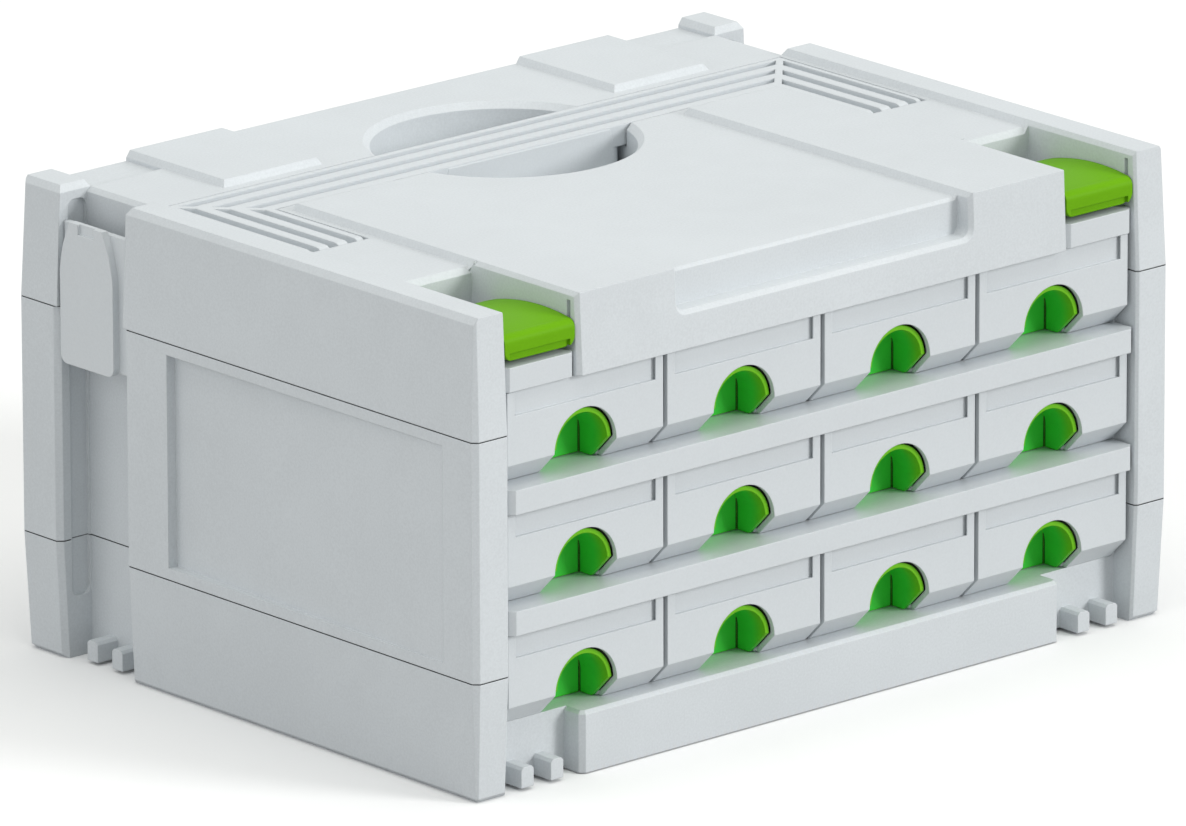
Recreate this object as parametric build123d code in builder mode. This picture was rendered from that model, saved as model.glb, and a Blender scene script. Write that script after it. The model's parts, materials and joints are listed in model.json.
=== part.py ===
"""Portable drawer case: three stacked shells, shelves, sliding drawers, carry handle and coupling latches.

Millimetres. The origin is the bottom centre, +X is to the right seen from the front,
the drawers face -Y and +Z is up.
"""
from build123d import *
import os
from math import atan, degrees, radians, sqrt, tan

# Case shells
case_width = 395.0
case_depth = 295.0
row_module = 52.5          # height of the base, of the top and of one row of drawers
rows = 3
columns = 4
taper_inset = 2.5          # the base and the top draw in by this much on every side
corner_chamfer = 2.4
skin = 2.5                 # moulded wall
rear_wall = 6.0
seam_height = 0.5          # shadow line between two shells
seam_depth = 1.0
overrun = 5.0              # cuts run past the surface by this much
pick = 0.2                 # tolerance when an edge is found by its place

# Front posts and side channels
post_width = 18.9
post_chamfer = 1.2         # inner edges of the front posts
post_zone = 13.8           # depth of the front zone between the posts
channel_depth = 17.5
channel_width = 43.5
rear_post_depth = 26.0
groove_width = 10.0        # upright grooves that guide the side latches
groove_depth = 1.5
groove_from_floor = 5.7
groove_corner = 3.5
groove_low = 27.0
groove_below_top = 7.0

# Recessed panel on each side of the middle frame
panel_rear = 49.5
panel_front = -127.0
panel_margin = 5.5
panel_rear_depth = 4.6
panel_front_depth = 0.5

# Base
floor_top = 27.6
foot_lift = 1.5
foot_chamfer = 2.0
plinth_width = 273.6
plinth_chamfer = 2.2
plinth_edge = 1.5
plinth_lift = 0.5
lug_width = 6.8
lug_height = 9.0
lug_reach = 11.3
lug_pitch = 16.4
lug_chamfer = 1.2

# Top
step_rise = 3.0            # the pads stand this much above the plate
step_run = 2.0
pocket_width = 39.5
pocket_length = 68.5
pocket_chamfer = 2.5
block_chamfer = 1.8        # edges of the front blocks at the pockets and the notch
block_inner = 82.5
block_rear = 36.0
rear_pad_inner = 83.0
rear_pad_outer = 138.5
rear_pad_front = 81.0
rear_drop = 1.6            # the plate is this much lower beside the rear pads
notch_width = 166.0
notch_setback = 10.5
notch_drop = 19.0
notch_radius = 4.0
edge_chamfer = 2.0
ledge_chamfer = 1.3

# Carry handle
bar_front = 42.0
bar_width = 33.6
arm_inner = 143.2
arm_width = 31.8
handle_thickness = 9.5
handle_groove = 4.9
handle_pitch = 10.3
handle_groove_depth = 3.6
handle_grooves = 3
handle_rim = 2.6
handle_web = 2.4
handle_pivot_y = -12.0
handle_end_reach = 5.0     # from the pivot to the rounded front end of an arm
handle_pin_radius = 2.6
handle_pin_length = 2.4
handle_gap = 0.8
grip_radius = 57.5         # round finger recess under the bar
grip_depth = 19.0
grip_chamfer = 2.8

# Shelves
shelf_plate = 2.5
rail_height = 10.6
rail_thickness = 2.8
rail_end_gap = 1.2
rail_chamfer = 2.4
pocket_rail_setback = 2.5   # rail of the ceiling shelf below each latch pocket
ceiling_setback = 5.2
ledge_reach = 2.0
ledge_height = 2.5
guide_width = 1.6
guide_height = 6.0
guide_setback = 24.0
seat_gap = 0.3             # between pieces that lie in one another
pin_gap = 0.3              # round a pin in its hole

# Drawers
drawer_gap = 2.4
drawer_setback = 3.8
drawer_headroom = 0.6
drawer_bevel = 9.5
drawer_wall = 2.0
drawer_front_wall = 2.4
drawer_body_inset = 1.0
drawer_rear_gap = 4.0
label_margin = 4.2
label_height = 10.4
label_depth = 1.6
label_lip = 0.5            # a label slides in behind lips of this thickness
label_slot = 2.0

# Drawer pulls
pull_opening_radius = 17.2
pull_gap = 1.0             # between the opening and the cup behind it
pull_rim = 2.0
pull_depth = 22.0
pull_wall = 1.6
pull_fit = 0.1

# Front latches
latch_gap = 0.5
latch_thickness = 3.0
latch_rear_drop = 14.0      # heights of the crowned upper face below the case's top
latch_crown_drop = 9.5
latch_front_drop = 10.9
latch_crown_back = 24.7
latch_finger_gap = 13.0     # room for a fingertip behind the folded latch
latch_corner = 4.0
latch_nose_setback = 3.0
latch_nose_drop = 22.5
latch_nose_thickness = 3.4
latch_nose_round = 4.0
latch_nose_corner = 5.0
latch_lip_height = 3.6      # groove along the foot of the nose
latch_lip_depth = 1.5
latch_lip_end = 2.5
latch_pivot_back = 4.4
latch_pivot_drop = 17.5
latch_barrel_radius = 3.4
latch_pin_radius = 2.0
latch_pin_length = 1.8
latch_slot_width = 2.2      # slot through which a pin goes down to its hole
latch_slot_drop = 3.8

# Side latches
side_latch_drop = 13.7
side_latch_length = 63.0
side_latch_setback = 1.0
side_latch_tongue = 3.4
side_latch_half = 17.4
side_latch_shift = 3.2     # the tongue sits this much to the rear of the block
side_latch_top_half = 10.4
side_latch_shoulder = 23.0
side_latch_plate = 3.0     # the block is only this thick down to its step
side_latch_step = 27.3
side_latch_corner = 4.0
side_latch_lip = 1.6       # the block behind the tongue is this much shorter
side_latch_notch_width = 10.5
side_latch_notch_depth = 1.4
side_latch_notch_height = 4.6
side_pin_drop = 33.3

# Worked-out places
half_width = case_width / 2
half_depth = case_depth / 2
case_height = rows * row_module + row_module
base_height = row_module
top_seam = case_height - row_module
taper_angle = degrees(atan(taper_inset / row_module))
low_top = case_height - step_rise
low_inset = taper_inset * (low_top - top_seam) / row_module
step_angle = degrees(atan(step_run / step_rise))
channel_floor = half_width - channel_depth
channel_back = half_depth - rear_post_depth
channel_front = channel_back - channel_width
channel_mid = (channel_front + channel_back) / 2
post_inner = half_width - post_width
bay_half = channel_floor - skin
bay_back = half_depth - rear_wall
zone_back = -half_depth + post_zone
cell_outer = half_width - taper_inset - foot_chamfer - skin
pocket_inner = post_inner - pocket_width
pocket_mid = (pocket_inner + post_inner) / 2
pocket_back = -half_depth + pocket_length
column_pitch = 2 * bay_half / columns
shelf_tops = [floor_top + row_module * level for level in range(rows + 1)]
top_shelf_z = shelf_tops[rows]
fascia_bottom = top_shelf_z - rail_height
ceiling_front = -half_depth + ceiling_setback
rail_half = post_inner - rail_end_gap
handle_bottom = low_top - handle_thickness
handle_pivot_z = low_top - handle_thickness / 2
bar_rear = bar_front + bar_width
bar_mid = (bar_front + bar_rear) / 2
arm_outer = arm_inner + arm_width
trough_floor = handle_bottom - handle_gap
grip_floor = low_top - grip_depth
notch_front = -half_depth + notch_setback
notch_ledge = case_height - notch_drop
drawer_front_y = -half_depth + drawer_setback
drawer_rear_y = bay_back - drawer_rear_gap
drawer_width = column_pitch - drawer_gap
drawer_height = row_module - rail_height - seat_gap - drawer_headroom
latch_rear = pocket_back - latch_finger_gap
latch_nose_y = -half_depth + latch_nose_setback
latch_pivot_y = latch_nose_y + latch_pivot_back
latch_pivot_z = case_height - latch_pivot_drop
side_latch_face = half_width - side_latch_setback
side_latch_top = case_height - side_latch_drop
side_pin_z = side_latch_top - side_pin_drop
groove_x = channel_floor + groove_from_floor
half_bevel_share = tan(radians(45 / 2))
both_sides = (-1, 1)


def outline(width, depth):
    """Rectangle with chamfered corners, in the sketch that is open."""
    plan = Rectangle(width, depth)
    chamfer(plan.vertices(), length=corner_chamfer)


def upright_edges(part, at_place):
    """Long upright edges of a shell whose middle is at a wanted place."""
    def wanted(edge):
        return edge.bounding_box().size.Z > row_module / 2 and at_place(edge.center())
    return part.edges().filter_by(wanted)


def at_channel_mouth(place):
    """Whether a place lies where a side channel meets the outer side."""
    on_channel = min(abs(place.Y - channel_front), abs(place.Y - channel_back)) < pick
    return on_channel and abs(place.X) > half_width - taper_inset - pick


def at_post_edge(place):
    """Whether a place lies on the inner edge of a front post."""
    return abs(abs(place.X) - post_inner) < pick and place.Y < -half_depth + taper_inset + pick


def cross_edges(part, y_place, height):
    """Edges along X at a height and a place along Y."""
    def at_place(edge):
        place = edge.center()
        return abs(place.Y - y_place) < pick and abs(place.Z - height) < pick
    return part.edges().filter_by(Axis.X).filter_by(at_place)


def notch_edges(part):
    """Outline of the notch on the leaning front face."""
    def on_outline(edge):
        place = edge.center()
        front = -half_depth + taper_inset * (place.Z - top_seam) / row_module
        inside = abs(place.X) < notch_width / 2 + pick and place.Z > notch_ledge - pick
        return inside and abs(place.Y - front) < pick
    return part.edges().filter_by(on_outline)


def span(low, high):
    """Middle and length of a stretch from low to high."""
    return (low + high) / 2, high - low


def slab(x_span, y_span, z_span, mode=Mode.ADD):
    """Box between the given limits, in the part that is open."""
    x_mid, x_size = span(*x_span)
    y_mid, y_size = span(*y_span)
    z_mid, z_size = span(*z_span)
    with Locations((x_mid, y_mid, z_mid)):
        Box(x_size, y_size, z_size, mode=mode)


def slab_pair(x_span, y_span, z_span, mode=Mode.ADD):
    """Box and its mirror image in the YZ plane."""
    slab(x_span, y_span, z_span, mode)
    slab((-x_span[1], -x_span[0]), y_span, z_span, mode)


def cut_channels(low, high):
    """Side channels of a shell between two heights."""
    slab_pair((channel_floor, half_width + overrun), (channel_front, channel_back), (low, high),
              Mode.SUBTRACT)


def cut_grooves(low, high, rounded_end=None):
    """Guide grooves in both walls of each side channel; rounded_end is 0 for the low one, -1 for the high."""
    z_mid, z_size = span(low, high)
    for side in both_sides:
        with BuildSketch(Plane.XZ.offset(-channel_front + groove_depth)) as groove:
            with Locations((side * groove_x, z_mid)):
                plan = Rectangle(groove_width, z_size)
            if rounded_end is not None:
                fillet(plan.vertices().group_by(Axis.Y)[rounded_end], radius=groove_corner)
        extrude(groove.sketch, amount=-(channel_width + 2 * groove_depth), mode=Mode.SUBTRACT)


def cut_front_edge(edge_x, way, length):
    """Chamfer on both sides along an upright edge of the top cover's leaning front.

    Args:
        edge_x: place of the edge along X.
        way: 1 where the material lies outwards of the edge, -1 where it lies inwards.
        length: length of the chamfer.
    """
    for side in both_sides:
        with BuildSketch(Plane.XY.offset(top_seam)) as wedge:
            with BuildLine():
                Polyline((side * (edge_x - way * overrun), -half_depth + length + overrun),
                         (side * (edge_x + way * (length + overrun)), -half_depth - overrun),
                         (side * (edge_x - way * overrun), -half_depth - overrun), close=True)
            make_face()
        extrude(wedge.sketch, amount=row_module + overrun, dir=(0, taper_inset, row_module),
                mode=Mode.SUBTRACT)


def add_lug(wall, place, reach):
    """Block with a chamfered top that stands out of a wall near the foot of the case."""
    with BuildSketch(wall) as profile:
        with Locations((place, foot_lift + lug_height / 2)):
            Rectangle(lug_width, lug_height)
        chamfer(profile.vertices().group_by(Axis.Y)[-1], length=lug_chamfer)
    extrude(profile.sketch, amount=reach)


def add_ledges(shelf_top):
    """Ledges on the bay walls that carry one shelf."""
    high = shelf_top - shelf_plate
    slab_pair((bay_half - ledge_reach, bay_half), (zone_back, bay_back), (high - ledge_height, high))


def add_guides(plate_top):
    """Low ribs that part the columns of drawers."""
    for column in range(1, columns):
        x_mid = -bay_half + column * column_pitch
        slab((x_mid - guide_width / 2, x_mid + guide_width / 2),
             (drawer_front_y + guide_setback, bay_back - seat_gap), (plate_top, plate_top + guide_height))


# Base tray
with BuildPart() as base_tray:
    with BuildSketch(Plane(origin=(0, 0, base_height), z_dir=(0, 0, -1))):
        outline(case_width, case_depth)
    extrude(amount=base_height - foot_chamfer, taper=taper_angle)
    extrude(base_tray.faces().sort_by(Axis.Z)[0], amount=foot_chamfer, taper=45)
    cut_channels(-overrun, base_height + overrun)
    slab((-bay_half, bay_half), (-half_depth - overrun, bay_back), (floor_top, base_height + overrun),
         Mode.SUBTRACT)
    slab((-post_inner, post_inner), (-half_depth - overrun, zone_back), (-overrun, base_height + overrun),
         Mode.SUBTRACT)
    chamfer(upright_edges(base_tray, at_channel_mouth), length=corner_chamfer)
    chamfer(upright_edges(base_tray, at_post_edge), length=post_chamfer)
    # Hollow underside with the sides left down as runners
    slab((-bay_half, bay_half), (zone_back + skin, bay_back), (-overrun, floor_top - skin), Mode.SUBTRACT)
    slab((-post_inner, post_inner), (-half_depth, half_depth), (-overrun, foot_lift), Mode.SUBTRACT)
    slab_pair((channel_floor, cell_outer),
              (-half_depth + taper_inset + foot_chamfer + skin, channel_front - skin),
              (-overrun, base_height - skin), Mode.SUBTRACT)
    # Plinth under the lowest row
    with BuildSketch(Plane.XY.offset(floor_top - plinth_edge)) as plinth:
        y_mid, y_size = span(-half_depth + taper_inset, zone_back + skin)
        with Locations((0, y_mid)):
            plinth_plan = Rectangle(plinth_width, y_size)
        chamfer(plinth_plan.vertices().group_by(Axis.Y)[0], length=plinth_chamfer)
    extrude(plinth.sketch, amount=plinth_lift + plinth_edge - floor_top)
    extrude(plinth.sketch, amount=plinth_edge, taper=45)
    slab((-plinth_width / 2 + skin, plinth_width / 2 - skin),
         (-half_depth + taper_inset + skin, zone_back + 2 * skin), (-overrun, floor_top - skin),
         Mode.SUBTRACT)
    # Lugs that the latches of a case below take hold of
    for side in both_sides:
        for shift in (-lug_pitch / 2, lug_pitch / 2):
            add_lug(Plane.XZ.offset(-zone_back), side * pocket_mid + shift, lug_reach)
            add_lug(Plane.YZ.offset(side * channel_floor), channel_mid + shift, side * lug_reach)
    cut_grooves(groove_low, base_height + overrun, rounded_end=0)
    add_guides(floor_top)

# Middle frame
with BuildPart() as middle_frame:
    def ring_plan(inset):
        """Plan of the frame: a C round the bay, with the side channels, drawn in by inset."""
        with BuildSketch(Plane.XY.offset(base_height)) as ring:
            Rectangle(case_width, case_depth)
            for side in both_sides:
                x_mid, x_size = span(channel_floor, half_width)
                with Locations((side * x_mid, channel_mid)):
                    Rectangle(x_size, channel_width, mode=Mode.SUBTRACT)
            y_mid, y_size = span(-half_depth, bay_back)
            with Locations((0, y_mid)):
                Rectangle(2 * bay_half, y_size, mode=Mode.SUBTRACT)
            y_mid, y_size = span(-half_depth, zone_back)
            with Locations((0, y_mid)):
                Rectangle(2 * post_inner, y_size, mode=Mode.SUBTRACT)
            chamfer(ring.vertices().filter_by(lambda corner: abs(corner.X) > half_width - pick),
                    length=corner_chamfer)
            chamfer(ring.vertices().filter_by(lambda corner: at_post_edge(corner)), length=post_chamfer)
            if inset:
                offset(amount=-inset, kind=Kind.INTERSECTION)
        return ring.sketch
    extrude(ring_plan(0), amount=2 * row_module)
    seam_ring = ring_plan(seam_depth)
    for low in (base_height, top_seam - seam_height):
        with BuildSketch(Plane.XY.offset(low)):
            Rectangle(case_width + overrun, case_depth + overrun)
            add(seam_ring, mode=Mode.SUBTRACT)
        extrude(amount=seam_height, mode=Mode.SUBTRACT)
    # Hollow side walls
    slab_pair((channel_floor, half_width - panel_rear_depth - skin),
              (-half_depth + 2 * skin, channel_front - 2 * skin),
              (base_height - overrun, top_seam + overrun), Mode.SUBTRACT)
    # Recessed side panels, deeper to the rear
    for side in both_sides:
        with BuildSketch(Plane.XY.offset(base_height + panel_margin)):
            with BuildLine():
                Polyline((side * (half_width + overrun), panel_rear),
                         (side * (half_width - panel_rear_depth), panel_rear),
                         (side * (half_width - panel_front_depth), panel_front),
                         (side * (half_width + overrun), panel_front), close=True)
            make_face()
        extrude(amount=2 * (row_module - panel_margin), mode=Mode.SUBTRACT)
    cut_grooves(base_height - overrun, top_seam + overrun)
    for shelf_top in shelf_tops[1:rows]:
        add_ledges(shelf_top)

# Space inside the top cover above the ceiling shelf, kept clear of its pockets
with BuildPart() as top_hollow:
    slab((-bay_half, bay_half), (ceiling_front, bay_back), (top_shelf_z, low_top - skin))
    slab_pair((pocket_inner - skin, bay_half), (-half_depth, pocket_back + skin), (top_shelf_z, low_top),
              Mode.SUBTRACT)
    slab((-notch_width / 2 - skin, notch_width / 2 + skin), (-half_depth, notch_front + skin),
         (notch_ledge - skin, low_top), Mode.SUBTRACT)
    slab((-bay_half, bay_half), (bar_front - handle_gap - skin, bar_rear + handle_gap + skin),
         (trough_floor - skin, low_top), Mode.SUBTRACT)
    slab_pair((arm_inner - handle_gap - skin, bay_half),
              (handle_pivot_y - handle_end_reach - handle_gap - skin, bar_rear),
              (trough_floor - skin, low_top), Mode.SUBTRACT)
    with Locations((0, bar_mid, grip_floor - skin)):
        Cylinder(grip_radius + skin, grip_depth + skin, mode=Mode.SUBTRACT,
                 align=(Align.CENTER, Align.CENTER, Align.MIN))
    slab_pair((rear_pad_outer - skin, bay_half), (channel_back - skin, bay_back),
              (low_top - rear_drop - skin, low_top), Mode.SUBTRACT)

# Raised pads of the top cover, sloped down to the plate and flush with the front and the rear
with BuildPart() as raised_pads:
    side_edge = half_width - low_inset
    ahead, behind = -half_depth - overrun, half_depth + overrun
    pads = (
        (channel_floor - step_run, side_edge, ahead, channel_front),
        (channel_floor - step_run, side_edge, channel_back, behind),
        (block_inner, pocket_inner, ahead, block_rear),
        (block_inner, pocket_inner + overrun, ahead, pocket_back),
        (rear_pad_inner, rear_pad_outer, rear_pad_front, behind),
    )
    for side in both_sides:
        for x_low, x_high, y_low, y_high in pads:
            x_mid, x_size = span(x_low, x_high)
            y_mid, y_size = span(y_low, y_high)
            with BuildSketch(Plane.XY.offset(low_top)):
                with Locations((side * x_mid, y_mid)):
                    Rectangle(x_size, y_size)
            extrude(amount=step_rise, taper=step_angle)
    with BuildSketch(Plane.XY.offset(top_seam)):
        outline(case_width, case_depth)
    extrude(amount=row_module, taper=taper_angle, mode=Mode.INTERSECT)

# Top cover
with BuildPart() as top_cover:
    with BuildSketch(Plane.XY.offset(top_seam)):
        outline(case_width, case_depth)
    extrude(amount=low_top - top_seam, taper=taper_angle)
    add(raised_pads.part)
    slab_pair((rear_pad_outer, channel_floor - step_run), (channel_back, half_depth + overrun),
              (low_top - rear_drop, low_top + overrun), Mode.SUBTRACT)
    cut_channels(top_seam - overrun, case_height + overrun)
    # Front opening between the posts, with a latch pocket above it on each side
    slab((-post_inner, post_inner), (-half_depth - overrun, zone_back), (top_seam - overrun, fascia_bottom),
         Mode.SUBTRACT)
    slab_pair((pocket_inner, post_inner), (-half_depth - overrun, pocket_back),
              (fascia_bottom - overrun, case_height + overrun), Mode.SUBTRACT)
    # Bay under the ceiling shelf, and the space above it
    slab((-bay_half, bay_half), (ceiling_front, bay_back), (top_seam - overrun, top_shelf_z), Mode.SUBTRACT)
    add(top_hollow.part, mode=Mode.SUBTRACT)
    slab_pair((channel_floor, cell_outer), (zone_back, channel_front - skin),
              (top_seam - overrun, trough_floor - skin), Mode.SUBTRACT)
    add_ledges(top_shelf_z)
    # Notch in the front edge of the plate
    with BuildSketch(Plane.XZ.offset(half_depth + overrun)):
        z_mid, z_size = span(notch_ledge, case_height + 2 * overrun)
        with Locations((0, z_mid)):
            notch = Rectangle(notch_width, z_size)
        fillet(notch.vertices().group_by(Axis.Y)[0], radius=notch_radius)
    extrude(amount=-(notch_setback + overrun), mode=Mode.SUBTRACT)
    # Chamfers on the edges at the pockets, the posts, the notch and the side channels
    chamfer(cross_edges(top_cover, pocket_back, low_top), length=pocket_chamfer)
    chamfer(cross_edges(top_cover, notch_front, low_top), length=ledge_chamfer)
    chamfer(notch_edges(top_cover), length=block_chamfer)
    cut_front_edge(pocket_inner, -1, block_chamfer)
    cut_front_edge(post_inner, 1, post_chamfer)
    for side in both_sides:
        with BuildSketch(Plane.XZ.offset(half_depth)):
            with BuildLine():
                Polyline((side * (pocket_inner - block_chamfer - overrun), case_height + overrun),
                         (side * (pocket_inner + overrun), case_height - block_chamfer - overrun),
                         (side * (pocket_inner + overrun), case_height + overrun), close=True)
            make_face()
        extrude(amount=step_run - pocket_length, mode=Mode.SUBTRACT)
    for side in both_sides:
        with BuildSketch(Plane.XZ.offset(-channel_front)):
            with BuildLine():
                Polyline((side * (channel_floor - edge_chamfer), low_top),
                         (side * (channel_floor + overrun), low_top - edge_chamfer - overrun),
                         (side * (channel_floor + overrun), low_top), close=True)
            make_face()
        extrude(amount=-channel_width, mode=Mode.SUBTRACT)
    # Trough for the handle and finger recess under its bar
    with BuildSketch(Plane.XY.offset(trough_floor)):
        y_mid, y_size = span(bar_front - handle_gap, bar_rear + handle_gap)
        with Locations((0, y_mid)):
            Rectangle(2 * (arm_outer + handle_gap), y_size)
        y_mid, y_size = span(handle_pivot_y - handle_end_reach - handle_gap, bar_rear + handle_gap)
        x_mid, x_size = span(arm_inner - handle_gap, arm_outer + handle_gap)
        for side in both_sides:
            with Locations((side * x_mid, y_mid)):
                Rectangle(x_size, y_size)
    extrude(amount=case_height - trough_floor + overrun, mode=Mode.SUBTRACT)
    with Locations((0, bar_mid, grip_floor)):
        Cylinder(grip_radius, grip_depth + overrun, mode=Mode.SUBTRACT,
                 align=(Align.CENTER, Align.CENTER, Align.MIN))
    rim_edges = top_cover.edges().filter_by(GeomType.CIRCLE).filter_by_position(
        Axis.Z, low_top - pick, low_top + pick)
    chamfer(rim_edges, length=grip_chamfer)
    # Pivot holes of the handle and of the front latches, with the slots that lead down to these
    for side in both_sides:
        with BuildSketch(Plane.YZ.offset(side * arm_outer)):
            with Locations((handle_pivot_y, handle_pivot_z)):
                Circle(handle_pin_radius + pin_gap)
        extrude(amount=side * (handle_gap + handle_pin_length), mode=Mode.SUBTRACT)
        for wall_x, way in ((pocket_inner, -1), (post_inner, 1)):
            with BuildSketch(Plane.YZ.offset(side * wall_x)):
                with Locations((latch_pivot_y, latch_pivot_z)):
                    Circle(latch_pin_radius + pin_gap)
                z_mid, z_size = span(latch_pivot_z, case_height - latch_slot_drop)
                with Locations((latch_pivot_y, z_mid)):
                    Rectangle(latch_slot_width, z_size)
            extrude(amount=side * way * latch_pin_length, mode=Mode.SUBTRACT)
    cut_grooves(top_seam - overrun, case_height - groove_below_top, rounded_end=-1)


def make_shelf(top, plate_front, rails, rail_front, guided=True):
    """Shelf plate with rails hanging from its front edge.

    Args:
        top: height of the shelf's upper face.
        plate_front: place of the plate's front edge along Y.
        rails: limits of each rail along X.
        rail_front: place of the rails' front faces along Y.
        guided: whether ribs on the plate part the drawers that stand on it.
    """
    neck_back = zone_back + rail_thickness
    with BuildPart() as shelf:
        slab((-bay_half + seat_gap, bay_half - seat_gap), (zone_back + seat_gap, bay_back - seat_gap),
             (top - shelf_plate, top))
        slab((-rail_half + rail_chamfer, rail_half - rail_chamfer), (plate_front, neck_back),
             (top - shelf_plate, top))
        for x_low, x_high in rails:
            x_mid, x_size = span(x_low, x_high)
            for y_high, drop in ((neck_back, shelf_plate), (rail_front + rail_thickness, rail_height)):
                y_mid, y_size = span(rail_front, y_high)
                with BuildSketch(Plane.XY.offset(top)):
                    with Locations((x_mid, y_mid)):
                        rail = Rectangle(x_size, y_size)
                    chamfer(rail.vertices().group_by(Axis.Y)[0], length=rail_chamfer)
                extrude(amount=-drop)
        if guided:
            add_guides(top)
    return shelf


def make_drawer(x_mid, low):
    """Drawer tray with a bevelled front, a label recess and the opening for its pull.

    Args:
        x_mid: middle of the drawer along X.
        low: height of the drawer's underside.
    """
    front, rear, high = drawer_front_y, drawer_rear_y, low + drawer_height
    inner = front + drawer_front_wall
    inner_bevel = drawer_bevel + drawer_front_wall * half_bevel_share
    half = drawer_width / 2
    body_half = half - drawer_body_inset
    with BuildPart() as drawer:
        with BuildSketch(Plane.YZ.offset(x_mid - body_half)):
            with BuildLine():
                Polyline((front, high), (front, low + drawer_bevel), (front + drawer_bevel, low),
                         (rear, low), (rear, high), close=True)
            make_face()
        extrude(amount=2 * body_half)
        with BuildSketch(Plane.YZ.offset(x_mid - half)):
            with BuildLine():
                Polyline((front, high), (front, low + drawer_bevel), (front + drawer_bevel, low),
                         (front + drawer_bevel + drawer_front_wall, low),
                         (inner, low + inner_bevel), (inner, high), close=True)
            make_face()
        extrude(amount=2 * half)
        with BuildSketch(Plane.YZ.offset(x_mid - body_half + drawer_wall)):
            with BuildLine():
                Polyline((inner, high + overrun), (inner, low + inner_bevel),
                         (inner + inner_bevel - drawer_wall, low + drawer_wall),
                         (rear - drawer_wall, low + drawer_wall), (rear - drawer_wall, high + overrun),
                         close=True)
            make_face()
        extrude(amount=2 * (body_half - drawer_wall), mode=Mode.SUBTRACT)
        label_half = half - label_margin
        for reach, y_low in ((label_half, front - overrun), (label_half + label_slot, front + label_lip)):
            slab((x_mid - reach, x_mid + reach), (y_low, front + label_depth),
                 (high - label_height, high + overrun), Mode.SUBTRACT)
        pull_arch(x_mid, low, pull_opening_radius, (front - overrun, inner + drawer_bevel))
        slot_half = pull_opening_radius - pull_gap + pull_fit
        slab((x_mid - slot_half, x_mid + slot_half),
             (front, front + pull_depth + pull_fit), (low - overrun, low + drawer_wall), Mode.SUBTRACT)
    return drawer


def pull_arch(x_mid, low, radius, y_span, mode=Mode.SUBTRACT):
    """Arched tunnel along Y: a half disc above the bevel's top edge on a straight-sided stretch.

    A cut runs on below the drawer.
    """
    centre = low + drawer_bevel
    foot = low if mode == Mode.ADD else low - overrun
    y_low, y_high = y_span
    with BuildSketch(Plane.XZ.offset(-y_low)) as arch:
        with BuildLine():
            ThreePointArc((x_mid - radius, centre), (x_mid, centre + radius), (x_mid + radius, centre))
            Polyline((x_mid + radius, centre), (x_mid + radius, foot), (x_mid - radius, foot),
                     (x_mid - radius, centre))
        make_face()
    extrude(arch.sketch, amount=y_low - y_high, mode=mode)


def make_pull(x_mid, low):
    """Finger cup behind the opening of a drawer front, open below.

    Args:
        x_mid: middle of the drawer along X.
        low: height of the drawer's underside.
    """
    front = drawer_front_y + drawer_front_wall
    back = drawer_front_y + pull_depth
    outer = pull_opening_radius - pull_gap
    with BuildPart() as pull:
        pull_arch(x_mid, low, outer, (front, back), Mode.ADD)
        pull_arch(x_mid, low, outer - pull_rim, (front - overrun, back - pull_wall))
        with BuildSketch(Plane.YZ.offset(x_mid - outer - overrun)):
            inner_bevel = drawer_bevel + drawer_front_wall * half_bevel_share
            with BuildLine():
                Polyline((front - overrun, low + inner_bevel), (front, low + inner_bevel),
                         (front + inner_bevel, low), (front + inner_bevel, low - overrun),
                         (front - overrun, low - overrun), close=True)
            make_face()
        extrude(amount=2 * (outer + overrun), mode=Mode.SUBTRACT)
    return pull


def make_front_latch(side):
    """Flip-up latch that lies back in a top pocket and turns about its nose."""
    half = pocket_width / 2 - latch_gap
    x_mid = side * pocket_mid
    nose_low = case_height - latch_nose_drop
    nose_back = latch_nose_y + latch_nose_thickness
    bend = latch_nose_y + latch_nose_round
    bend_share = 1 - sqrt(1 / 2)
    crown_y = -half_depth + latch_crown_back
    rear_z, crown_z, front_z = (case_height - drop
                                for drop in (latch_rear_drop, latch_crown_drop, latch_front_drop))
    with BuildPart() as latch:
        with BuildSketch(Plane.YZ.offset(x_mid - half)):
            with BuildLine():
                ThreePointArc((latch_rear, rear_z), (crown_y, crown_z), (bend, front_z))
                ThreePointArc((bend, front_z),
                              (latch_nose_y + latch_nose_round * bend_share,
                               front_z - latch_nose_round * bend_share),
                              (latch_nose_y, front_z - latch_nose_round))
                Polyline((latch_nose_y, front_z - latch_nose_round), (latch_nose_y, nose_low),
                         (nose_back, nose_low), (nose_back, front_z - latch_thickness))
                ThreePointArc((nose_back, front_z - latch_thickness), (crown_y, crown_z - latch_thickness),
                              (latch_rear, rear_z - latch_thickness))
                Line((latch_rear, rear_z - latch_thickness), (latch_rear, rear_z))
            make_face()
        extrude(amount=2 * half)
        fillet(latch.edges().filter_by(Axis.Z).group_by(Axis.Y)[-1], radius=latch_corner)
        fillet(latch.edges().filter_by(Axis.Y).group_by(Axis.Z)[0], radius=latch_nose_corner)
        slab((x_mid - half + latch_lip_end, x_mid + half - latch_lip_end),
             (latch_nose_y - overrun, latch_nose_y + latch_lip_depth),
             (nose_low - overrun, nose_low + latch_lip_height), Mode.SUBTRACT)
        for radius, reach in ((latch_barrel_radius, half), (latch_pin_radius, half + latch_pin_length)):
            with BuildSketch(Plane.YZ.offset(x_mid - reach)):
                with Locations((latch_pivot_y, latch_pivot_z)):
                    Circle(radius)
            extrude(amount=2 * reach)
    return latch


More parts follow.
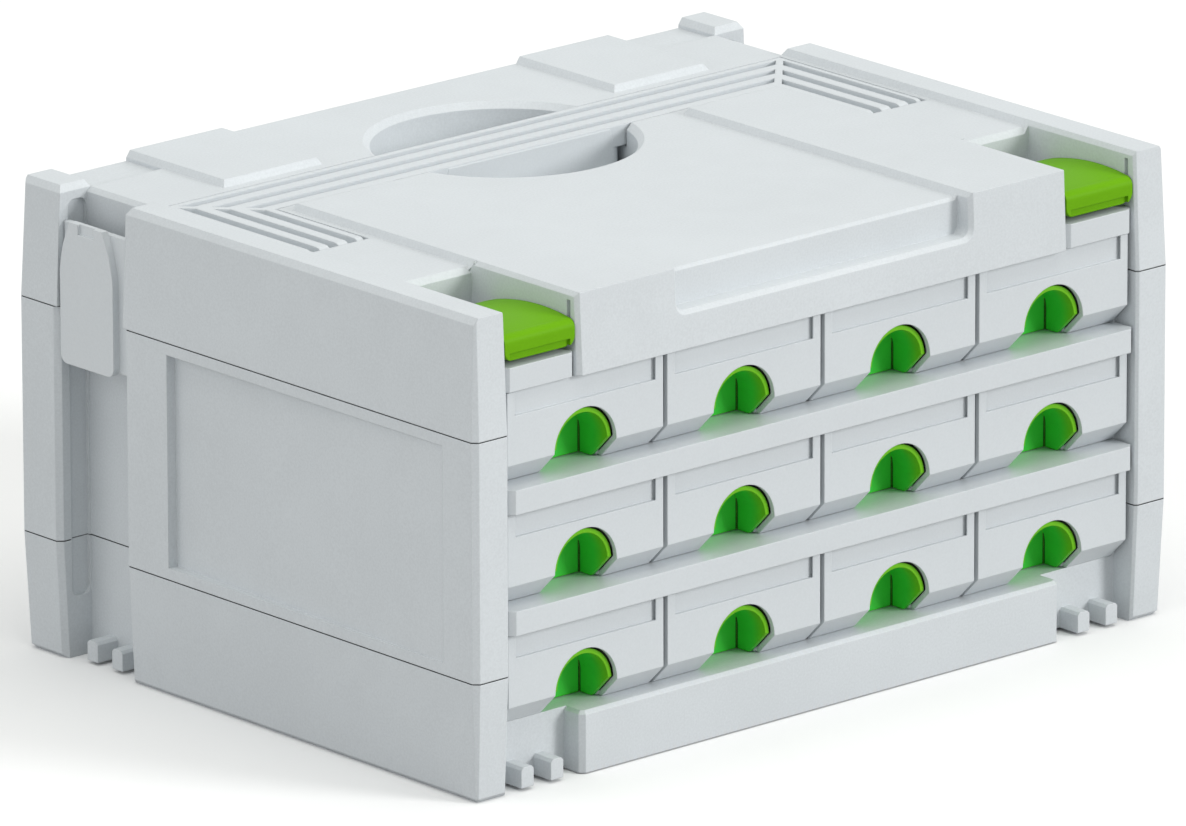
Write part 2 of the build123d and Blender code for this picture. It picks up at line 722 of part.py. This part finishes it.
def make_side_latch(side):
    """Coupling latch that slides up in a side channel on two pins."""
    top, low = side_latch_top, side_latch_top - side_latch_length
    shoulder = top - side_latch_shoulder
    tongue_inner = side_latch_face - side_latch_tongue
    bulge = (side_latch_half - side_latch_top_half) / side_latch_shoulder
    block_half = channel_width / 2 - latch_gap
    tongue_mid = channel_mid + side_latch_shift
    with BuildPart() as latch:
        with BuildSketch(Plane.YZ.offset(side * tongue_inner)):
            with BuildLine():
                for way in both_sides:
                    ThreePointArc((tongue_mid + way * side_latch_top_half, top),
                                  (tongue_mid + way * (side_latch_half - side_latch_lip * (1 + bulge)),
                                   shoulder + side_latch_shoulder / 2),
                                  (tongue_mid + way * side_latch_half, shoulder))
                    Line((tongue_mid + way * side_latch_half, shoulder),
                         (tongue_mid + way * side_latch_half, low))
                Line((tongue_mid - side_latch_top_half, top), (tongue_mid + side_latch_top_half, top))
                Line((tongue_mid - side_latch_half, low), (tongue_mid + side_latch_half, low))
            tongue = make_face()
            fillet(tongue.vertices().group_by(Axis.Y)[0], radius=side_latch_corner)
        extrude(amount=side * side_latch_tongue)
        for inner, high in ((channel_floor + latch_gap, top - side_latch_step),
                            (tongue_inner - side_latch_plate, top - side_latch_lip)):
            x_mid, x_size = span(inner, tongue_inner)
            slab((side * x_mid - x_size / 2, side * x_mid + x_size / 2),
                 (channel_mid - block_half, channel_mid + block_half), (low + side_latch_lip, high))
        notch_x, notch_size = span(side_latch_face - side_latch_notch_depth, side_latch_face + overrun)
        slab((side * notch_x - notch_size / 2, side * notch_x + notch_size / 2),
             (tongue_mid - side_latch_notch_width / 2, tongue_mid + side_latch_notch_width / 2),
             (top - side_latch_notch_height, top + overrun), Mode.SUBTRACT)
        pin_reach = channel_width / 2 + groove_depth - latch_gap
        with BuildSketch(Plane.XZ.offset(-channel_mid + pin_reach)):
            with Locations((side * groove_x, side_pin_z)):
                Circle(groove_width / 2 - pin_gap)
        extrude(amount=-2 * pin_reach)
    return latch


# Carry handle
with BuildPart() as carry_handle:
    def bail_plan(arm_low, arm_high, bar_low, bar_high, front):
        """U-shaped plan between the given arm and bar limits, in the sketch that is open."""
        y_mid, y_size = span(bar_low, bar_high)
        with Locations((0, y_mid)):
            Rectangle(2 * arm_high, y_size)
        y_mid, y_size = span(front, bar_high)
        x_mid, x_size = span(arm_low, arm_high)
        for side in both_sides:
            with Locations((side * x_mid, y_mid)):
                Rectangle(x_size, y_size)
    with BuildSketch(Plane.XY.offset(handle_bottom)):
        bail_plan(arm_inner, arm_outer, bar_front, bar_rear, handle_pivot_y - handle_end_reach)
    extrude(amount=handle_thickness)
    front_edges = carry_handle.edges().filter_by(Axis.X).group_by(Axis.Y)[0]
    fillet(front_edges, radius=handle_thickness / 2 - seat_gap)
    # Grooves along the arms and the bar, parted by a web on the mitre of each corner
    with BuildSketch(Plane.XY.offset(low_top - handle_groove_depth)) as grooves:
        for groove in range(handle_grooves):
            arm_x = arm_outer - handle_rim - handle_groove / 2 - groove * handle_pitch
            bar_y = bar_rear - handle_rim - handle_groove / 2 - groove * handle_pitch
            bail_plan(arm_x - handle_groove / 2, arm_x + handle_groove / 2,
                      bar_y - handle_groove / 2, bar_y + handle_groove / 2,
                      handle_pivot_y - handle_end_reach - overrun)
        for side in both_sides:
            with BuildLine():
                Polyline((side * arm_inner, bar_front + handle_web),
                         (side * arm_inner, bar_front - handle_web),
                         (side * arm_outer, bar_rear - handle_web),
                         (side * arm_outer, bar_rear + handle_web), close=True)
            make_face(mode=Mode.SUBTRACT)
    extrude(amount=handle_groove_depth + overrun, mode=Mode.SUBTRACT)
    for side in both_sides:
        with BuildSketch(Plane.YZ.offset(side * arm_outer)):
            with Locations((handle_pivot_y, handle_pivot_z)):
                Circle(handle_pin_radius)
        extrude(amount=side * (handle_gap + handle_pin_length - seat_gap))

full_rail = ((-rail_half, rail_half),)
rail_inner, rail_outer = pocket_inner + seat_gap, post_inner - seat_gap
pocket_rails = ((-rail_outer, -rail_inner), (rail_inner, rail_outer))
pieces = {
    "base_tray": base_tray,
    "middle_frame": middle_frame,
    "top_cover": top_cover,
    "lower_shelf": make_shelf(shelf_tops[1], zone_back, full_rail, -half_depth),
    "upper_shelf": make_shelf(shelf_tops[2], zone_back, full_rail, -half_depth),
    "ceiling_shelf": make_shelf(top_shelf_z, ceiling_front, pocket_rails,
                                -half_depth + pocket_rail_setback, guided=False),
    "carry_handle": carry_handle,
    "front_latch_left": make_front_latch(-1),
    "front_latch_right": make_front_latch(1),
    "side_latch_left": make_side_latch(-1),
    "side_latch_right": make_side_latch(1),
}
for row in range(rows):
    for column in range(columns):
        drawer_x = -bay_half + (column + 1 / 2) * column_pitch
        drawer_low = shelf_tops[rows - 1 - row] + seat_gap
        place = f"row{row + 1}_{column + 1}"
        pieces["drawer_" + place] = make_drawer(drawer_x, drawer_low)
        pieces["pull_" + place] = make_pull(drawer_x, drawer_low)

os.makedirs("parts", exist_ok=True)
for name, piece in pieces.items():
    piece.part.label = name
    export_step(piece.part, f"parts/{name}.step")
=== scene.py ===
"""Looks of a portable drawer case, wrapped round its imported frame."""
import json
import logging
import math
from dataclasses import dataclass
from enum import Enum
from typing import Any, Optional, Sequence, Union

import bmesh
import bpy
from mathutils import Matrix, Vector

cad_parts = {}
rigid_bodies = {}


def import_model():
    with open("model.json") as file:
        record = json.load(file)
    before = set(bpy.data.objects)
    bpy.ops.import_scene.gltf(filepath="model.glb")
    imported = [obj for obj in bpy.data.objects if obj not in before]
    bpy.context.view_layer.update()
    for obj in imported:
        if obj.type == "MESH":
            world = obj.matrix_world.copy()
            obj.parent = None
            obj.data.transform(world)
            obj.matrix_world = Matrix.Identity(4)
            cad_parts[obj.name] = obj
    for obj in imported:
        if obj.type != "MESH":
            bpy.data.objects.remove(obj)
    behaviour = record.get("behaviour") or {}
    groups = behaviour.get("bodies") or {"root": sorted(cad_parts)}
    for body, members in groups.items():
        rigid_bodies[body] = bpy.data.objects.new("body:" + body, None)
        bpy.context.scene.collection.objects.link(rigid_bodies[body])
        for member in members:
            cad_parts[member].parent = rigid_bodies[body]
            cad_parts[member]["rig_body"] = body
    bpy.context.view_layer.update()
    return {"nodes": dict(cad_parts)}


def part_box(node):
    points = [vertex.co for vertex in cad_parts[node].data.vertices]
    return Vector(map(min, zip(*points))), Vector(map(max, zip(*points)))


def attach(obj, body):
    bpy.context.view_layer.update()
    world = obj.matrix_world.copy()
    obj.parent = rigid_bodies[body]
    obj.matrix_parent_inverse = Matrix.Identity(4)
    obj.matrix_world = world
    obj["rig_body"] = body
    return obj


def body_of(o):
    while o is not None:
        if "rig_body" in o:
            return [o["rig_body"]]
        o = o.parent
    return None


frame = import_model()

LOG = logging.getLogger("drawer_case")
MILLIMETRE = 0.001
NOISE_MIDDLE = 0.5
BEVEL_SAMPLES = 6
MIX_SHARE, MIX_FIRST, MIX_SECOND, MIX_COLOUR = 0, 6, 7, 2
Colour = tuple[float, float, float]
Span = tuple[float, float]


class Sock:
    """A shader socket that takes part in Python arithmetic."""

    def __init__(self, nodes: "Nodes", socket: bpy.types.NodeSocket) -> None:
        """Keeps the tree that takes new nodes and the socket that gives the value."""
        self.nodes = nodes
        self.socket = socket

    def _math(self, operation: str, first: Any, second: Any) -> "Sock":
        """Adds one Math node on two values."""
        return self.nodes.node("ShaderNodeMath", {"operation": operation}, {0: first, 1: second})

    def __add__(self, other: Any) -> "Sock":
        """Sum of two values."""
        return self._math("ADD", self, other)

    __radd__ = __add__

    def __sub__(self, other: Any) -> "Sock":
        """Difference of two values."""
        return self._math("SUBTRACT", self, other)

    def __rsub__(self, other: Any) -> "Sock":
        """Difference with the number on the left."""
        return self._math("SUBTRACT", other, self)

    def __mul__(self, other: Any) -> "Sock":
        """Product of two values."""
        return self._math("MULTIPLY", self, other)

    __rmul__ = __mul__

    def __abs__(self) -> "Sock":
        """Size of a value without its sign."""
        return self.nodes.node("ShaderNodeMath", {"operation": "ABSOLUTE"}, {0: self})

    def ramp(self, low: float, high: float) -> "Sock":
        """Smooth step from 0 at low to 1 at high.

        Args:
            low: value that gives 0.
            high: value that gives 1.

        Returns:
            The stepped value.
        """
        return self.nodes.node("ShaderNodeMapRange", {"interpolation_type": "SMOOTHSTEP"},
                               {"Value": self, "From Min": low, "From Max": high})


class Nodes:
    """A node tree with a single way to add a node."""

    def __init__(self, tree: bpy.types.NodeTree) -> None:
        """Empties the tree.

        Args:
            tree: the tree of a material or of the world.
        """
        self.tree = tree
        self.tree.nodes.clear()

    def put(self, socket: bpy.types.NodeSocket, value: Any) -> None:
        """Links a Sock to a socket, or sets the socket's own value."""
        if isinstance(value, Sock):
            self.tree.links.new(value.socket, socket)
        else:
            socket.default_value = value

    def node(self, kind: str, settings: Optional[dict[str, Any]] = None,
             inputs: Optional[dict[Union[int, str], Any]] = None, output: Union[int, str] = 0) -> Sock:
        """Adds a node.

        Args:
            kind: Blender's type name of the node.
            settings: properties of the node, set first.
            inputs: values or links of its sockets, by name or place.
            output: the output that is wanted.

        Returns:
            The wanted output.
        """
        made = self.tree.nodes.new(kind)
        for key, value in (settings or {}).items():
            setattr(made, key, value)
        for key, value in (inputs or {}).items():
            self.put(made.inputs[key], value)
        return Sock(self, made.outputs[output])

    def seen(self) -> Sock:
        """1 for what the camera sees, by itself or in a reflection, and 0 for bounced light."""
        camera, glossy, through = (self.node("ShaderNodeLightPath", output=f"Is {ray} Ray")
                                   for ray in ("Camera", "Glossy", "Transmission"))
        return (camera + glossy + through).ramp(0.0, 1.0)

    def blend(self, share: Any, first: Any, second: Any) -> Sock:
        """Mixes two colours by a share."""
        return self.node("ShaderNodeMix", {"data_type": "RGBA"},
                         {MIX_SHARE: share, MIX_FIRST: first, MIX_SECOND: second}, output=MIX_COLOUR)


@dataclass(frozen=True)
class Marks:
    """One layer of cloudy marks: their size in metres, the number of finer layers and the weight of those."""

    size: float
    detail: float = 2.0
    rough: float = 0.5


class Shader(Nodes):
    """Node tree of one material."""

    def __init__(self, name: str) -> None:
        """Starts a tree with a surface shader.

        Args:
            name: name of the material.
        """
        self.material = bpy.data.materials.new(name)
        self.material.use_nodes = True
        super().__init__(self.material.node_tree)
        self.surface = self.tree.nodes.new("ShaderNodeBsdfPrincipled")
        output = self.tree.nodes.new("ShaderNodeOutputMaterial")
        self.tree.links.new(self.surface.outputs[0], output.inputs[0])

    def place(self) -> Sock:
        """Place on the piece, in metres of the shared frame."""
        return self.node("ShaderNodeTexCoord", output="Object")

    def share(self, axis: str) -> Sock:
        """Share of the way through the piece's own box, along X, Y or Z."""
        inside = self.node("ShaderNodeTexCoord", output="Generated")
        return self.node("ShaderNodeSeparateXYZ", {}, {0: inside}, output=axis)

    def noise(self, marks: Marks) -> Sock:
        """Cloudy values from 0 to 1."""
        return self.node("ShaderNodeTexNoise", {"noise_dimensions": "3D"},
                         {"Vector": self.place(), "Scale": 1 / marks.size,
                          "Detail": marks.detail, "Roughness": marks.rough})

    def finish(self, **sockets: Any) -> bpy.types.Material:
        """Sets or links sockets of the surface shader and returns the material."""
        for name, value in sockets.items():
            self.put(self.surface.inputs[name.replace("_", " ")], value)
        return self.material


def opaque(colour: Sequence[float], factor: float = 1.0) -> tuple[float, float, float, float]:
    """Colour as four numbers, made lighter or darker by a factor."""
    return (colour[0] * factor, colour[1] * factor, colour[2] * factor, 1.0)


class Grain(Enum):
    """Textures of the moulds, as their finest marks."""

    SPARKED = Marks(0.00045, rough=0.6)
    SATIN = Marks(0.0009, rough=0.6)
    POLISHED = Marks(0.0025, rough=0.6)


@dataclass(frozen=True)
class MouldedPlastic:
    """Injection-moulded plastic with the mould's grain and softened edges, which carry a painted highlight.

    Depths and radii are in metres. A highlight is a factor on the colour that paints the edges lighter, a
    weight is a share of the tone, and a swing is how far the roughness changes.
    """

    name: str
    colour: Colour
    roughness: float
    grain: Grain
    grain_depth: float = 0.000012
    edge_radius: float = 0.0006
    edge_turn: Span = (0.004, 0.12)
    edge_share: float = 0.6
    edge_highlight: float = 1.13
    edge_swing: float = 0.05
    clouds: Marks = Marks(0.11, detail=3.0)
    cloud: float = 0.025
    cloud_weight: float = 0.40
    cloud_swing: float = 0.08
    flow: Marks = Marks(0.016)
    flow_weight: float = 0.15
    flow_swing: float = 0.04
    specks: Marks = Marks(0.0010, detail=1.0)
    speck_weight: float = 0.45
    tone_span: Span = (0.3, 0.7)
    shine: float = 0.5

    def body(self, shader: Shader, tone: Sock) -> Sock:
        """Colour away from the edges.

        Args:
            shader: tree that the colour is made in.
            tone: clouds from 0 to 1.

        Returns:
            The clouded colour.
        """
        return shader.blend(tone, opaque(self.colour, 1 - self.cloud), opaque(self.colour, 1 + self.cloud))

    def make(self) -> bpy.types.Material:
        """Builds the material.

        Returns:
            The material, which follows the piece and not the camera.
        """
        shader = Shader(self.name)
        rounded = shader.node("ShaderNodeBevel", {"samples": BEVEL_SAMPLES}, {"Radius": self.edge_radius})
        facing = shader.node("ShaderNodeNewGeometry", output="Normal")
        turned = shader.node("ShaderNodeVectorMath", {"operation": "DOT_PRODUCT"},
                             {0: rounded, 1: facing}, output="Value")
        edge = (1 - turned).ramp(*self.edge_turn)
        clouds, flow, specks, fine = (shader.noise(marks) for marks in
                                      (self.clouds, self.flow, self.specks, self.grain.value))
        tone = clouds * self.cloud_weight + flow * self.flow_weight + specks * self.speck_weight
        body = self.body(shader, tone.ramp(*self.tone_span))
        # Painted highlight: the colour is made lighter along the edges, where a rounded edge would catch the
        # light.
        edge_highlighted = shader.blend(edge * self.edge_share, body, opaque(self.colour, self.edge_highlight))
        rough = (self.roughness + (clouds - NOISE_MIDDLE) * self.cloud_swing
                 + (flow - NOISE_MIDDLE) * self.flow_swing - edge * self.edge_swing)
        relief = shader.node("ShaderNodeBump", {}, {"Strength": 1.0, "Distance": self.grain_depth,
                                                    "Height": fine, "Normal": rounded})
        return shader.finish(Base_Color=edge_highlighted, Roughness=rough, Normal=relief, Specular_IOR_Level=self.shine)


@dataclass(frozen=True)
class ShellPlastic(MouldedPlastic):
    """Plastic of the stacked shells, with painted shade on the walls of the joint grooves at both ends of the
    middle one, in metres.
    """

    middle: str = "middle_frame"
    # Colour of the painted shade in the joint grooves and in the cups' gap lines.
    gap_shade_colour: Colour = (0.050, 0.058, 0.062)
    joint_height: float = 0.0005
    gap_shade_blur: float = 0.00002

    def body(self, shader: Shader, tone: Sock) -> Sock:
        """Colour away from the edges.

        Args:
            shader: tree that the colour is made in.
            tone: clouds from 0 to 1.

        Returns:
            The clouded colour, and painted shade on the walls of the joint grooves.
        """
        height = shader.node("ShaderNodeSeparateXYZ", {}, {0: shader.place()}, output="Z")
        low, high = (corner.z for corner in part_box(self.middle))
        colour = super().body(shader, tone)
        # Painted shade: the walls of the two joint grooves are coloured dark, as if in shadow.
        for centre in (low + self.joint_height / 2, high - self.joint_height / 2):
            away = abs(height - centre).ramp(self.joint_height / 2, self.joint_height / 2 + self.gap_shade_blur)
            colour = shader.blend(away, opaque(self.gap_shade_colour), colour)
        return colour


@dataclass(frozen=True)
class CupPlastic(MouldedPlastic):
    """Plastic of a finger cup, whose colour inside is painted with bounced light and whose back is set off by
    two painted lines of shade.

    The places are shares of the cup's depth and of its half width.
    """

    # Colour of the painted bounce light deep inside the cup.
    bounce_colour: Colour = (0.060, 0.660, 0.060)
    deep_from: float = 0.5
    gap_shade_colour: Colour = (0.006, 0.035, 0.012)
    gap_depth: float = 0.89
    gap_reach: float = 0.84
    gap_shade_blur: float = 0.012

    def body(self, shader: Shader, tone: Sock) -> Sock:
        """Colour away from the edges.

        Args:
            shader: tree that the colour is made in.
            tone: clouds from 0 to 1.

        Returns:
            The clouded colour at the rim, the painted bounce-light colour inside and painted shade in the two
            lines beside the back.
        """
        depth = shader.share("Y")
        reach = abs(shader.share("X") * 2 - 1)
        # Painted bounce light: the colour shifts with depth, as light bounced between the cup's walls would
        # shift it.
        inside = shader.blend(depth.ramp(0.0, self.deep_from), super().body(shader, tone),
                              opaque(self.bounce_colour))
        # Painted shade: two dark lines near the back wall stand for the shadow in gaps beside it.
        gap_shade = (depth.ramp(self.gap_depth - self.gap_shade_blur, self.gap_depth)
                 * reach.ramp(self.gap_reach - self.gap_shade_blur, self.gap_reach))
        return shader.blend(gap_shade, inside, opaque(self.gap_shade_colour))


SHELL = ShellPlastic("shell_grey_plastic", (0.628, 0.660, 0.682), 0.48, Grain.SPARKED,
                     grain_depth=0.000020, cloud=0.05)
SHELF = MouldedPlastic("shelf_grey_plastic", (0.628, 0.660, 0.682), 0.31, Grain.POLISHED,
                       grain_depth=0.0000004)
DRAWER = MouldedPlastic("drawer_grey_plastic", (0.632, 0.664, 0.686), 0.42, Grain.SATIN,
                        grain_depth=0.000006)
HANDLE = MouldedPlastic("handle_grey_plastic", (0.632, 0.664, 0.686), 0.44, Grain.SATIN,
                        grain_depth=0.000006, edge_radius=0.0010)
SIDE_LATCH = MouldedPlastic("side_latch_grey_plastic", (0.645, 0.676, 0.697), 0.40, Grain.SATIN,
                            grain_depth=0.000006)
LATCH_GREEN = MouldedPlastic("latch_green_plastic", (0.148, 0.400, 0.006), 0.42, Grain.SATIN,
                             grain_depth=0.000004, edge_highlight=1.25, cloud=0.03, shine=0.05)
PULL_GREEN = CupPlastic("pull_green_plastic", (0.160, 0.520, 0.008), 0.38, Grain.SATIN,
                        grain_depth=0.000004, edge_highlight=1.15, cloud=0.03, shine=0.2)


@dataclass
class SubAssembly:
    """A group of the frame's pieces that belong together."""

    finish: MouldedPlastic

    def nodes(self) -> Sequence[str]:
        """Names of the pieces in the frame."""
        raise NotImplementedError

    def dress(self) -> None:
        """Gives every piece of the group its material."""
        material = self.finish.make()
        for name in self.nodes():
            mesh = frame["nodes"][name].data
            mesh.materials.clear()
            mesh.materials.append(material)
            LOG.info("dressed %s in %s", name, material.name)


@dataclass
class NamedPieces(SubAssembly):
    """Pieces that are told one by one, such as the shells or the latches."""

    names: Sequence[str] = ()

    def nodes(self) -> Sequence[str]:
        """Names as they were given."""
        return self.names


@dataclass
class CellPieces(SubAssembly):
    """One piece in every cell of the drawer bank."""

    kind: str = "drawer"
    rows: int = 3
    columns: int = 4

    def nodes(self) -> Sequence[str]:
        """Names of the pieces, row by row."""
        return [f"{self.kind}_row{row}_{column}"
                for row in range(1, self.rows + 1) for column in range(1, self.columns + 1)]


@dataclass
class GripWall:
    """Moulded ring under the middle of the handle's bar, which makes it deep for the fingers, in metres.

    Its front covers that of the bar, its other sides end inside the bar, and it takes the bar's finish.
    """

    carrier: str = "carry_handle"
    slot: str = "handle"
    bar_width: float = 0.0336
    half_length: float = 0.055
    corner_radius: float = 0.009
    corner_steps: int = 8
    thickness: float = 0.003
    depth: float = 0.018
    front_drop: float = 0.0004
    other_drop: float = 0.006
    proud: float = 0.0002
    rear_inset: float = 0.0015
    soft_edge: float = 0.0008
    soft_steps: int = 3

    def sections(self, bar_corner: Vector) -> list[list[Vector]]:
        """Four-cornered sections round the ring.

        Args:
            bar_corner: highest corner of the handle, at the rear of the bar's upper face.

        Returns:
            The corners of each section, from the front left of the ring round to its start.
        """
        rear = bar_corner.y - self.rear_inset
        front = bar_corner.y - self.bar_width - self.proud
        x_reach = self.half_length - self.corner_radius
        y_reach = (rear - front) / 2 - self.corner_radius
        cuts = []
        for quarter, (x_side, y_side) in enumerate(((-1, -1), (1, -1), (1, 1), (-1, 1))):
            centre = Vector((x_side * x_reach, (front + rear) / 2 + y_side * y_reach, bar_corner.z))
            for step in range(self.corner_steps + 1):
                turn = math.pi / 2 * (2 + quarter + step / self.corner_steps)
                outwards = Vector((math.cos(turn), math.sin(turn), 0.0))
                outer = centre + outwards * self.corner_radius
                inner = outer - outwards * self.thickness
                at_front = (quarter, step) in ((0, self.corner_steps), (1, 0))
                drop = self.front_drop if at_front else self.other_drop
                cuts.append([spot - Vector((0.0, 0.0, fall)) for spot, fall in
                             ((outer, self.depth), (outer, drop), (inner, drop), (inner, self.depth))])
        return cuts

    def mesh(self) -> bpy.types.Mesh:
        """Joins the sections to one closed mesh.

        Returns:
            The mesh, in the shared frame.
        """
        shape = bmesh.new()
        rings = [[shape.verts.new(spot) for spot in cut] for cut in self.sections(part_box(self.carrier)[1])]
        for near, far in zip(rings, rings[1:] + rings[:1]):
            for first, second in zip(range(-1, len(near) - 1), range(len(near))):
                shape.faces.new((near[first], near[second], far[second], far[first]))
        bmesh.ops.recalc_face_normals(shape, faces=shape.faces)
        mesh = bpy.data.meshes.new("grip_wall")
        shape.to_mesh(mesh)
        shape.free()
        mesh.shade_smooth()
        return mesh

    def build(self) -> None:
        """Adds the ring as a piece that moves with the handle."""
        holder = frame["nodes"][self.carrier]
        wall = bpy.data.objects.new("grip_wall", self.mesh())
        wall.data.materials.append(holder.data.materials[0])
        bpy.context.scene.collection.objects.link(wall)
        rounding = wall.modifiers.new("soft_edges", "BEVEL")
        rounding.width = self.soft_edge
        rounding.segments = self.soft_steps
        rounding.harden_normals = True
        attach(wall, body_of(holder)[0])
        LOG.info("added %s on %s", wall.name, self.carrier)


@dataclass(frozen=True)
class SoftSun:
    """Wide lamp that lights the floor as evenly as the case.

    The place it shines from is a direction, and its spread softens the shadow.
    """

    name: str
    shines_from: tuple[float, float, float]
    strength: float
    spread: float
    colour: Colour = (1.0, 1.0, 1.0)

    def hang(self) -> None:
        """Adds the lamp to the scene."""
        data = bpy.data.lights.new(self.name, "SUN")
        data.energy = self.strength
        data.angle = math.radians(self.spread)
        data.color = self.colour
        holder = bpy.data.objects.new(self.name, data)
        bpy.context.scene.collection.objects.link(holder)
        holder.rotation_euler = (-Vector(self.shines_from)).to_track_quat("-Z", "Y").to_euler()


@dataclass
class Studio:
    """Floor, soft light and the camera at the photo's viewing angle.

    Angles are in degrees. The camera's offset is in millimetres along its right, up and back directions, and
    its focal length is in pixels of the photo. The floor and the clip are in metres.
    """

    image_width: int = 1186
    focal_pixels: float = 15812.6
    sensor: float = 36.0
    azimuth: float = -41.572
    elevation: float = 16.865
    roll: float = -0.162
    offset: tuple[float, float, float] = (-1.393, 93.353, 6788.07)
    far_clip: float = 100.0
    floor_size: float = 60.0
    floor_colour: Colour = (0.97, 0.97, 0.97)
    floor_bounce: float = 0.50
    floor_roughness: float = 0.9
    floor_shine: float = 0.1
    sky_colour: Colour = (0.95, 0.985, 1.0)
    sky_light: float = 0.46
    lamps: Sequence[SoftSun] = (
        SoftSun("overhead", (0.0, -0.15, 1.0), 1.26, 60.0, (1.0, 0.98, 0.92)),
        SoftSun("front", (0.6, -1.0, 0.45), 1.61, 20.0),
        SoftSun("side", (-1.0, 0.3, 0.25), 0.86, 70.0),
    )

    def camera(self) -> None:
        """Places the camera that was solved from the photo's edges."""
        turn, rise, roll = (math.radians(angle) for angle in (self.azimuth, self.elevation, self.roll))
        back = Vector((math.sin(turn) * math.cos(rise), -math.cos(turn) * math.cos(rise), math.sin(rise)))
        right = Vector((math.cos(turn), math.sin(turn), 0.0))
        up = back.cross(right)
        right, up = (right * math.cos(roll) + up * math.sin(roll),
                     up * math.cos(roll) - right * math.sin(roll))
        sideways, upwards, away = self.offset
        spot = (right * sideways + up * upwards + back * away) * MILLIMETRE
        data = bpy.data.cameras.new("photo_camera")
        data.sensor_fit = "HORIZONTAL"
        data.sensor_width = self.sensor
        data.lens = self.sensor * self.focal_pixels / self.image_width
        data.clip_end = self.far_clip
        holder = bpy.data.objects.new("photo_camera", data)
        bpy.context.scene.collection.objects.link(holder)
        holder.matrix_world = Matrix((
            (right.x, up.x, back.x, spot.x),
            (right.y, up.y, back.y, spot.y),
            (right.z, up.z, back.z, spot.z),
            (0.0, 0.0, 0.0, 1.0)))
        bpy.context.scene.camera = holder

    def floor(self) -> None:
        """Lays the pale floor that keeps the shadow."""
        half = self.floor_size / 2
        mesh = bpy.data.meshes.new("floor")
        corners = [(-half, -half, 0), (half, -half, 0), (half, half, 0), (-half, half, 0)]
        mesh.from_pydata(corners, [], [(0, 1, 2, 3)])
        floor = bpy.data.objects.new("floor", mesh)
        bpy.context.scene.collection.objects.link(floor)
        shader = Shader("floor_white")
        white, bounced = opaque(self.floor_colour), opaque(self.floor_colour, self.floor_bounce)
        mesh.materials.append(shader.finish(Base_Color=shader.blend(shader.seen(), bounced, white),
                                            Roughness=self.floor_roughness,
                                            Specular_IOR_Level=self.floor_shine))

    def world(self) -> None:
        """Even sky light, shown as white to the camera and in reflections."""
        world = bpy.data.worlds.new("studio")
        bpy.context.scene.world = world
        world.use_nodes = True
        nodes = Nodes(world.node_tree)
        light = self.sky_light + nodes.seen() * (1 - self.sky_light)
        sky = nodes.node("ShaderNodeBackground", {}, {"Color": opaque(self.sky_colour), "Strength": light})
        end = nodes.tree.nodes.new("ShaderNodeOutputWorld")
        nodes.put(end.inputs["Surface"], sky)

    def build(self) -> None:
        """Sets up the whole studio."""
        bpy.context.scene.view_settings.view_transform = "Standard"
        self.camera()
        self.floor()
        self.world()
        for lamp in self.lamps:
            lamp.hang()


def main() -> None:
    """Builds the studio, dresses every piece of the case and adds the handle's grip wall."""
    logging.basicConfig(level=logging.INFO, format="%(message)s")
    Studio().build()
    groups = (
        NamedPieces(SHELL, ("base_tray", "middle_frame", "top_cover")),
        NamedPieces(SHELF, ("lower_shelf", "upper_shelf", "ceiling_shelf")),
        NamedPieces(HANDLE, ("carry_handle",)),
        NamedPieces(SIDE_LATCH, ("side_latch_left", "side_latch_right")),
        NamedPieces(LATCH_GREEN, ("front_latch_left", "front_latch_right")),
        CellPieces(DRAWER, "drawer"),
        CellPieces(PULL_GREEN, "pull"),
    )
    for group in groups:
        group.dress()
    GripWall().build()


if __name__ == "__main__":
    main()
